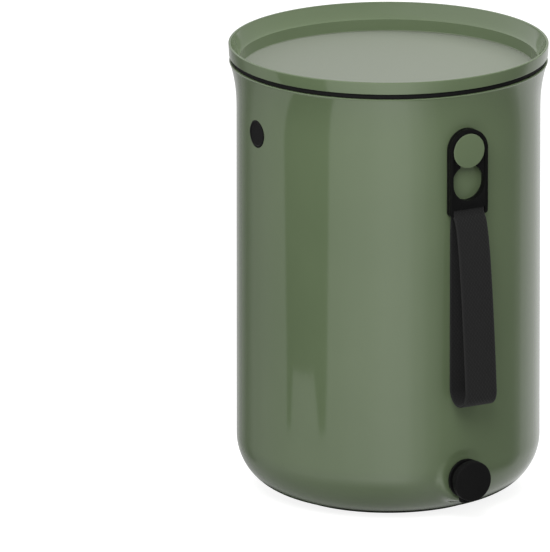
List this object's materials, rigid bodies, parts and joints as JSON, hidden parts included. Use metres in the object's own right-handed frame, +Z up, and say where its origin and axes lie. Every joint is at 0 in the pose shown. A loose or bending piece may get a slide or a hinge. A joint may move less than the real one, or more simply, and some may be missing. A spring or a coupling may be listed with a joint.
{
  "type": "bokashi bin",
  "caption": "Round kitchen bokashi bin: flared tub with dished lid and seal, drain grid, quarter-turn tap and a webbing carrying strap hung on a button.",
  "frame": {"origin": "middle of the base pad's underside, on the tub's axis", "axes": "+Z up along the tub's axis; the tap, front button and strap face -Y; the side plugs face -X and +X"},
  "size_m": [0.2248, 0.2431, 0.3231],
  "materials": {
    "tub_green": "glossy moulded sage green",
    "lid_green": "satin moulded sage green",
    "black_plastic": "fine satin black",
    "grid_plastic": "matte dark grey",
    "rubber": "matte black",
    "webbing": "woven black",
    "steel": "stainless"
  },
  "bodies": {
    "bin": {"tub": "tub_green", "base_pad": "rubber", "tap_body": "black_plastic", "tap_nut": "black_plastic", "tap_outer_gasket": "rubber", "tap_inner_gasket": "rubber", "front_button": "tub_green", "front_button_washer": "steel", "front_button_screw": "steel", "rear_button": "tub_green", "rear_button_washer": "steel", "rear_button_screw": "steel", "left_side_plug": "black_plastic", "right_side_plug": "black_plastic"},
    "lid": {"lid": "lid_green", "lid_seal": "rubber"},
    "grid": {"drain_grid": "grid_plastic"},
    "tap_core": {"tap_plug": "black_plastic", "tap_knob": "black_plastic", "tap_front_oring": "rubber", "tap_inner_oring": "rubber"},
    "strap": {"inner_hook_plate": "black_plastic", "outer_hook_plate": "black_plastic", "strap_webbing": "webbing"}
  },
  "joints": [
    {"name": "lid_lift", "type": "slide", "parent": "bin", "child": "lid", "axis": [0, 0, 1], "range_m": [0, 0.12]},
    {"name": "grid_lift", "type": "slide", "parent": "bin", "child": "grid", "axis": [0, 0, 1], "range_m": [0, 0.23]},
    {"name": "tap_turn", "type": "hinge", "parent": "bin", "child": "tap_core", "pos_m": [0, -0.11, 0.032], "axis": [0, -1, 0], "range_deg": [0, 90]},
    {"name": "strap_swing", "type": "hinge", "parent": "bin", "child": "strap", "pos_m": [0, -0.11, 0.2701], "axis": [0, -1, 0], "range_deg": [-85, 85]}
  ]
}
